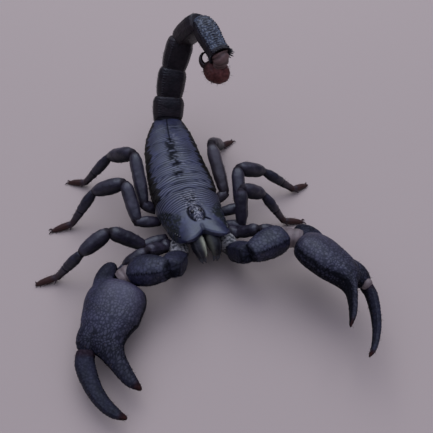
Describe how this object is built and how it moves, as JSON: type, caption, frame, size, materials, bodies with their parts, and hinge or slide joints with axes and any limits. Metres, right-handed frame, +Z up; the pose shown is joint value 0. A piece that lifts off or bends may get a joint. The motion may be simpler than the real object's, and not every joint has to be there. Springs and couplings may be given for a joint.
{
  "type": "forest scorpion model",
  "caption": "Still life-size model of a large black forest scorpion, hands spread and tail curled forward over its back, standing on its feet.",
  "frame": {"origin": "centre of the bounding box at floor level, under the trunk", "axes": "+Z up, -Y towards the animal's front, +X towards its left"},
  "size_m": [0.1016, 0.1286, 0.0537],
  "materials": {
    "shell": "black, semi-glossy shell with a blue-grey sheen",
    "tail_shell": "brown-black shell, keeled and slightly granular",
    "hand_shell": "blue-black shell with rounded granules",
    "leg_shell": "blue-black smooth shell, reddish brown at the feet",
    "jaw_shell": "dark brown shell",
    "membrane": "pinkish grey soft joint skin",
    "vesicle": "dark reddish brown, granular",
    "sting": "almost black, smooth and sharp",
    "eye": "black, very glossy"
  },
  "bodies": {
    "root": {"eye_left": "eye", "chelicera_left": "jaw_shell", "eye_right": "eye", "chelicera_right": "jaw_shell", "carapace": "shell", "mesosoma_1": "shell", "mesosoma_2": "shell", "mesosoma_3": "shell", "mesosoma_4": "shell", "mesosoma_5": "shell", "mesosoma_6": "shell", "mesosoma_7": "shell", "metasoma_1": "tail_shell", "metasoma_2": "tail_shell", "metasoma_3": "tail_shell", "metasoma_4": "tail_shell", "metasoma_5": "tail_shell", "telson_vesicle": "vesicle", "telson_sting": "sting", "pedipalp_left_trochanter": "jaw_shell", "pedipalp_left_femur": "shell", "pedipalp_left_patella": "shell", "pedipalp_left_wrist": "membrane", "pedipalp_left_hand": "hand_shell", "pedipalp_left_finger": "hand_shell", "pedipalp_right_trochanter": "jaw_shell", "pedipalp_right_femur": "shell", "pedipalp_right_patella": "shell", "pedipalp_right_wrist": "membrane", "pedipalp_right_hand": "hand_shell", "pedipalp_right_finger": "hand_shell", "coxosternum": "shell", "pectine_left": "jaw_shell", "pectine_right": "jaw_shell", "leg_right_1_femur": "leg_shell", "leg_right_1_patella": "leg_shell", "leg_right_1_foot": "leg_shell", "leg_right_2_femur": "leg_shell", "leg_right_2_patella": "leg_shell", "leg_right_2_foot": "leg_shell", "leg_right_3_femur": "leg_shell", "leg_right_3_patella": "leg_shell", "leg_right_3_foot": "leg_shell", "leg_right_4_femur": "leg_shell", "leg_right_4_patella": "leg_shell", "leg_right_4_foot": "leg_shell", "leg_left_1_femur": "leg_shell", "leg_left_1_patella": "leg_shell", "leg_left_1_foot": "leg_shell", "leg_left_2_femur": "leg_shell", "leg_left_2_patella": "leg_shell", "leg_left_2_foot": "leg_shell", "leg_left_3_femur": "leg_shell", "leg_left_3_patella": "leg_shell", "leg_left_3_foot": "leg_shell", "leg_left_4_femur": "leg_shell", "leg_left_4_patella": "leg_shell", "leg_left_4_foot": "leg_shell"}
  },
  "joints": []
}
